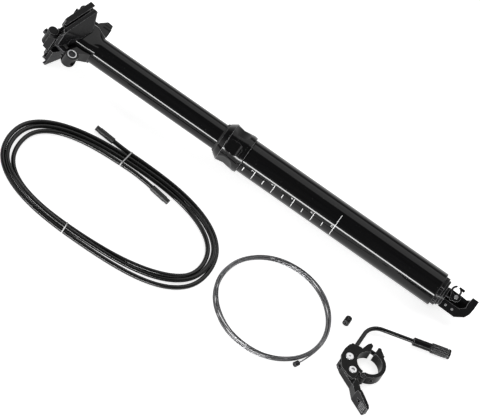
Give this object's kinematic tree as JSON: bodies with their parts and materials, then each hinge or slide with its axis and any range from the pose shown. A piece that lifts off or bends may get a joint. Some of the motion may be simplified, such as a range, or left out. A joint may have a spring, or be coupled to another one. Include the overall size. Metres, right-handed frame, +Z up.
{
  "type": "dropper seatpost",
  "caption": "Telescoping seatpost with a two-bolt saddle clamp and a cable actuator at its foot, laid out with its handlebar remote, coiled housing and inner cable.",
  "frame": {"origin": "centre of the lower tube's top end, on the post's axis", "axes": "+X along the row of pieces from the saddle head to the foot (the post's own axis dips 1.7 degrees below it, as it lies), +Y towards the post's front, +Z up from the surface it lies on"},
  "size_m": [0.4326, 0.1952, 0.0525],
  "materials": {
    "gloss_black": "gloss black anodised and lacquered",
    "satin_black": "satin black anodised",
    "matt_black": "matt black anodised",
    "bare_alloy": "turned",
    "steel": "zinc plated",
    "dark_steel": "black oxide",
    "gloss_tube": "gloss black plated",
    "brass": "turned",
    "seal_rubber": "moulded",
    "bushing_plastic": "moulded",
    "housing": "extruded, shiny",
    "ferrule_plastic": "moulded",
    "tie_plastic": "thin grey tie"
  },
  "bodies": {
    "lower_post": {"lower_tube": "gloss_black", "seal_collar": "satin_black", "wiper_seal": "seal_rubber", "upper_bushing": "bushing_plastic", "lock_ring": "satin_black", "foot_cap": "satin_black", "cartridge_rod": "steel", "rod_piston": "bushing_plastic", "actuator_bracket": "satin_black", "bracket_pins": "steel", "cam_pivot_pin": "steel", "remote_body": "matt_black", "band_hinge_pin": "dark_steel", "lever_pivot_bolt": "steel", "lever_bush": "bushing_plastic", "lever_spring": "steel", "cover_screw": "steel", "guide_tube": "gloss_tube", "adjuster_sleeve": "satin_black", "housing_coil": "housing", "housing_ferrule_a": "ferrule_plastic", "housing_ferrule_b": "ferrule_plastic", "bundle_ties": "tie_plastic", "cable_coil": "steel", "cable_head": "dark_steel", "cable_barrel": "satin_black", "barrel_grub_screw": "dark_steel"},
    "sliding_post": {"upper_post": "gloss_black", "lower_bushing": "bushing_plastic", "key_pins": "brass", "gas_cartridge": "bare_alloy", "cartridge_gland": "bare_alloy", "rear_barrel_washer": "steel", "rear_bolt": "dark_steel"},
    "leaning_bolt": {"front_bolt": "dark_steel"},
    "saddle_clamp": {"rail_cradle": "satin_black", "rail_clamp_plate": "satin_black"},
    "front_barrel": {"front_nut": "dark_steel"},
    "rear_barrel": {"rear_nut": "dark_steel"},
    "cam": {"actuator_cam": "satin_black"},
    "pin": {"valve_pin": "steel"},
    "band": {"clamp_band": "matt_black"},
    "band_bolt": {"pinch_bolt": "dark_steel"},
    "lever": {"remote_lever": "matt_black", "cable_clamp_screw": "dark_steel"},
    "knob": {"adjuster_knob": "satin_black"}
  },
  "joints": [
    {"name": "post_slide", "type": "slide", "parent": "lower_post", "child": "sliding_post", "axis": [0.9996, 0, -0.0288], "range_m": [0, 0.125], "stiffness_N_per_m": 60, "springref_m": -0.05},
    {"name": "saddle_tilt", "type": "hinge", "parent": "sliding_post", "child": "saddle_clamp", "pos_m": [-0.18602, 0.0026, 0.00536], "axis": [0.0288, 0, 0.9996], "range_deg": [-5, 5]},
    {"name": "front_bolt_lean", "type": "hinge", "parent": "sliding_post", "child": "leaning_bolt", "pos_m": [-0.15648, 0.02231, 0.00451], "axis": [0.0288, 0, 0.9996], "range_deg": [-1.5, 1.5]},
    {"name": "front_nut_turn", "type": "hinge", "parent": "saddle_clamp", "child": "front_barrel", "pos_m": [-0.18037, 0.02231, 0.0052], "axis": [0.0288, 0, 0.9996], "range_deg": [-6.5, 6.5]},
    {"name": "rear_nut_turn", "type": "hinge", "parent": "saddle_clamp", "child": "rear_barrel", "pos_m": [-0.1914, -0.01614, 0.00552], "axis": [0.0288, 0, 0.9996], "range_deg": [-5.1, 5.1]},
    {"name": "cam_turn", "type": "hinge", "parent": "lower_post", "child": "cam", "pos_m": [0.21068, 0.0026, -0.00389], "axis": [-0.0221, 0.6428, -0.7657], "range_deg": [0, 20.4]},
    {"name": "valve_slide", "type": "slide", "parent": "lower_post", "child": "pin", "axis": [-0.9996, 0, 0.0288], "range_m": [0, 0.00119], "stiffness_N_per_m": 300, "springref_m": -0.002},
    {"name": "lever_press", "type": "hinge", "parent": "lower_post", "child": "lever", "pos_m": [0.1734, -0.1193, -0.02106], "axis": [0, 0, 1], "range_deg": [0, 22], "stiffness_Nm_per_rad": 0.01, "springref_deg": -17.19},
    {"name": "band_close", "type": "hinge", "parent": "lower_post", "child": "band", "pos_m": [0.1834, -0.1175, -0.02106], "axis": [0, 0, 1], "range_deg": [0, 4]},
    {"name": "pinch_bolt_feed", "type": "slide", "parent": "lower_post", "child": "band_bolt", "axis": [-1, 0, 0], "range_m": [0, 0.0019]},
    {"name": "knob_turn", "type": "hinge", "parent": "lower_post", "child": "knob", "pos_m": [0.21677, -0.04798, -0.01636], "axis": [0.9537, 0.3007, 0], "continuous": true}
  ],
  "couplings": [
    {"joint": "front_bolt_lean", "follows": "saddle_tilt", "ratio": -0.239},
    {"joint": "front_nut_turn", "follows": "saddle_tilt", "ratio": -1.239},
    {"joint": "rear_nut_turn", "follows": "saddle_tilt", "ratio": -1},
    {"joint": "cam_turn", "follows": "valve_slide", "rad_per_m": 294.12},
    {"joint": "pinch_bolt_feed", "follows": "band_close", "m_per_rad": 0.026}
  ]
}
